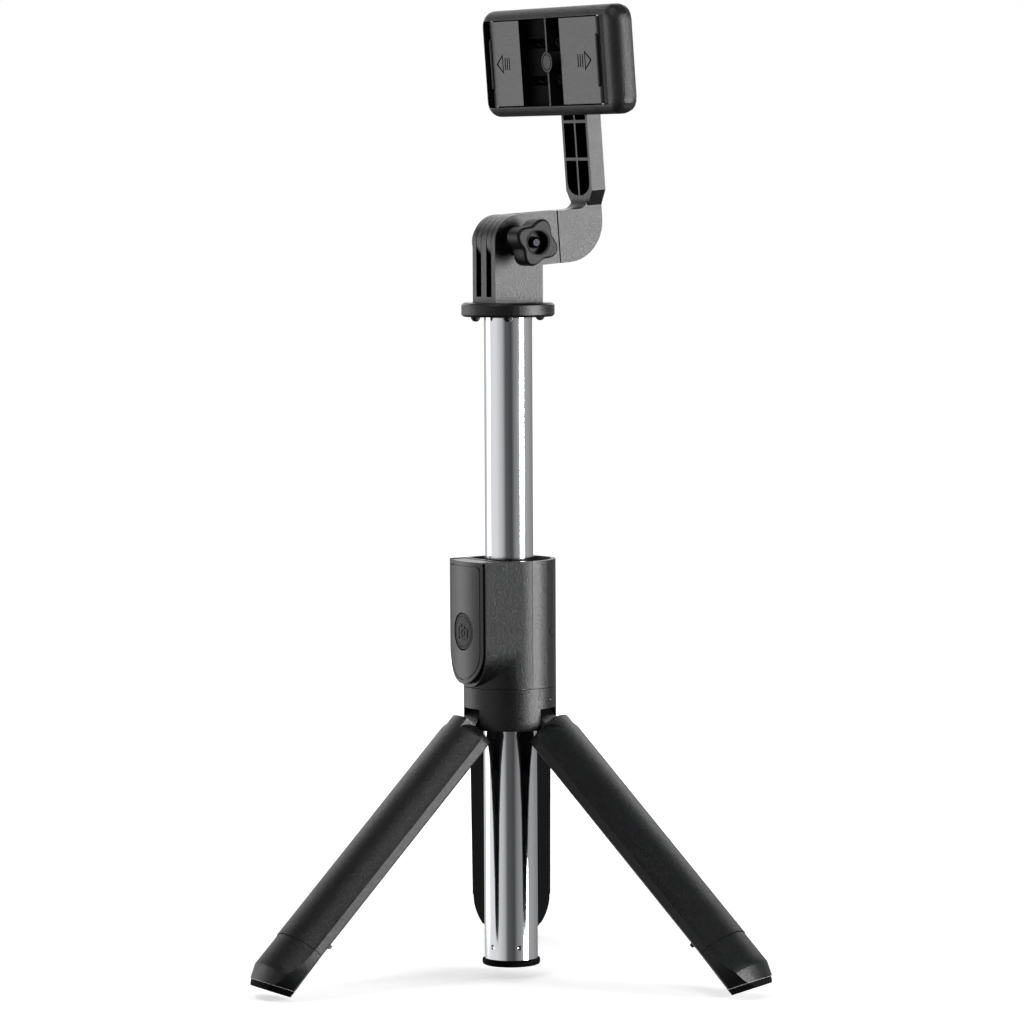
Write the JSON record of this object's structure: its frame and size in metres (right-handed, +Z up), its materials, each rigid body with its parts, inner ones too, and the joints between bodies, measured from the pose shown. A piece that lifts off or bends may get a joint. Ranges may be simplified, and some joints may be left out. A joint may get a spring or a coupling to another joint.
{
  "type": "selfie stick",
  "caption": "Tripod selfie stick with telescopic tubes, fold-out legs, a tilting swivel phone clamp and a remote control that slides out of the handle.",
  "frame": {"origin": "centre of the underside of the cap at the lower end of the tube", "axes": "+Z up along the tubes, -Y out through the face of the remote control, +X through the tilt knob"},
  "size_m": [0.1738, 0.1525, 0.3215],
  "materials": {
    "black_abs": "fine-grained matt moulding",
    "remote_shell": "smooth satin moulding",
    "black_rubber": "matt",
    "bright_tube": "polished and plated",
    "steel_pin": "turned",
    "spring_steel": "drawn wire",
    "nylon": "natural, unfilled",
    "board": "solder mask",
    "cell": "pressed can"
  },
  "bodies": {
    "base": {"tube_end_cap": "black_rubber", "tube_1": "bright_tube", "hinge_collar": "black_abs", "leg_pin_front": "steel_pin", "leg_pin_right": "steel_pin", "leg_pin_back": "steel_pin", "housing_front": "black_abs", "housing_rear": "black_abs", "housing_screw_left": "steel_pin", "housing_screw_right": "steel_pin"},
    "leg_front": {"leg_shell_front": "black_abs", "leg_foot_front": "black_abs", "leg_sole_front": "black_rubber"},
    "leg_right": {"leg_shell_right": "black_abs", "leg_foot_right": "black_abs", "leg_sole_right": "black_rubber"},
    "leg_back": {"leg_shell_back": "black_abs", "leg_foot_back": "black_abs", "leg_sole_back": "black_rubber"},
    "remote": {"remote_back": "remote_shell", "remote_face": "remote_shell", "remote_board": "board", "coin_cell": "cell"},
    "button": {"shutter_button": "remote_shell"},
    "section_2": {"tube_2": "bright_tube", "slide_bush_2": "nylon"},
    "section_3": {"tube_3": "bright_tube", "slide_bush_3": "nylon"},
    "section_4": {"tube_4": "bright_tube", "slide_bush_4": "nylon"},
    "section_5": {"tube_5": "bright_tube", "slide_bush_5": "nylon"},
    "head": {"tube_6": "bright_tube", "slide_bush_6": "nylon", "head_fork": "black_abs", "pivot_bolt": "steel_pin", "knob_washer": "steel_pin"},
    "knob": {"tilt_knob": "black_abs"},
    "arm": {"bracket": "black_abs", "swivel_screw": "steel_pin", "swivel_washer": "steel_pin"},
    "clamp": {"clamp_body": "black_abs", "clamp_cover": "black_abs", "jaw_pin_left": "steel_pin", "return_spring_lower": "spring_steel", "return_spring_upper": "spring_steel"},
    "carriage": {"clamp_slide": "black_abs", "jaw_pin_right": "steel_pin", "guide_rod_lower": "steel_pin", "guide_rod_upper": "steel_pin"},
    "jaw_left": {"jaw_left": "black_abs"},
    "jaw_right": {"jaw_right": "black_abs"}
  },
  "joints": [
    {"name": "leg_front_fold", "type": "hinge", "parent": "base", "child": "leg_front", "pos_m": [0, -0.012, 0.0842], "axis": [1, 0, 0], "range_deg": [0, 44]},
    {"name": "leg_right_fold", "type": "hinge", "parent": "base", "child": "leg_right", "pos_m": [0.01039, 0.006, 0.0842], "axis": [-0.5, 0.866, 0], "range_deg": [0, 44]},
    {"name": "leg_back_fold", "type": "hinge", "parent": "base", "child": "leg_back", "pos_m": [-0.01039, 0.006, 0.0842], "axis": [-0.5, -0.866, 0], "range_deg": [0, 44]},
    {"name": "remote_release", "type": "slide", "parent": "base", "child": "remote", "axis": [0, 0, 1], "range_m": [0, 0.043]},
    {"name": "shutter_press", "type": "slide", "parent": "remote", "child": "button", "axis": [0, 1, 0], "range_m": [0, 0.0007], "stiffness_N_per_m": 1200, "springref_m": -0.0005},
    {"name": "section_2_extend", "type": "slide", "parent": "base", "child": "section_2", "axis": [0, 0, 1], "range_m": [-0.0786, 0.017]},
    {"name": "section_3_extend", "type": "slide", "parent": "section_2", "child": "section_3", "axis": [0, 0, 1], "range_m": [0, 0.097]},
    {"name": "section_4_extend", "type": "slide", "parent": "section_3", "child": "section_4", "axis": [0, 0, 1], "range_m": [0, 0.097]},
    {"name": "section_5_extend", "type": "slide", "parent": "section_4", "child": "section_5", "axis": [0, 0, 1], "range_m": [0, 0.097]},
    {"name": "head_extend", "type": "slide", "parent": "section_5", "child": "head", "axis": [0, 0, 1], "range_m": [0, 0.097]},
    {"name": "knob_turn", "type": "hinge", "parent": "head", "child": "knob", "pos_m": [0.0163, 0, 0.2406], "axis": [1, 0, 0], "range_deg": [0, 360]},
    {"name": "arm_tilt", "type": "hinge", "parent": "head", "child": "arm", "pos_m": [0, 0, 0.2406], "axis": [1, 0, 0], "range_deg": [-36, 175.8]},
    {"name": "clamp_swivel", "type": "hinge", "parent": "arm", "child": "clamp", "pos_m": [0, 0.01969, 0.3002], "axis": [0, 0.9973, 0.0732], "continuous": true},
    {"name": "carriage_pull", "type": "slide", "parent": "clamp", "child": "carriage", "axis": [1, 0, 0], "range_m": [0, 0.022], "stiffness_N_per_m": 180, "springref_m": -0.02, "deforming": ["return_spring_lower", "return_spring_upper"]},
    {"name": "jaw_left_flip", "type": "hinge", "parent": "clamp", "child": "jaw_left", "pos_m": [-0.0394, 0.01839, 0.30011], "axis": [0, 0.0732, -0.9973], "range_deg": [0, 90]},
    {"name": "jaw_right_flip", "type": "hinge", "parent": "carriage", "child": "jaw_right", "pos_m": [0.0302, 0.01839, 0.30011], "axis": [0, -0.0732, 0.9973], "range_deg": [0, 90]}
  ]
}
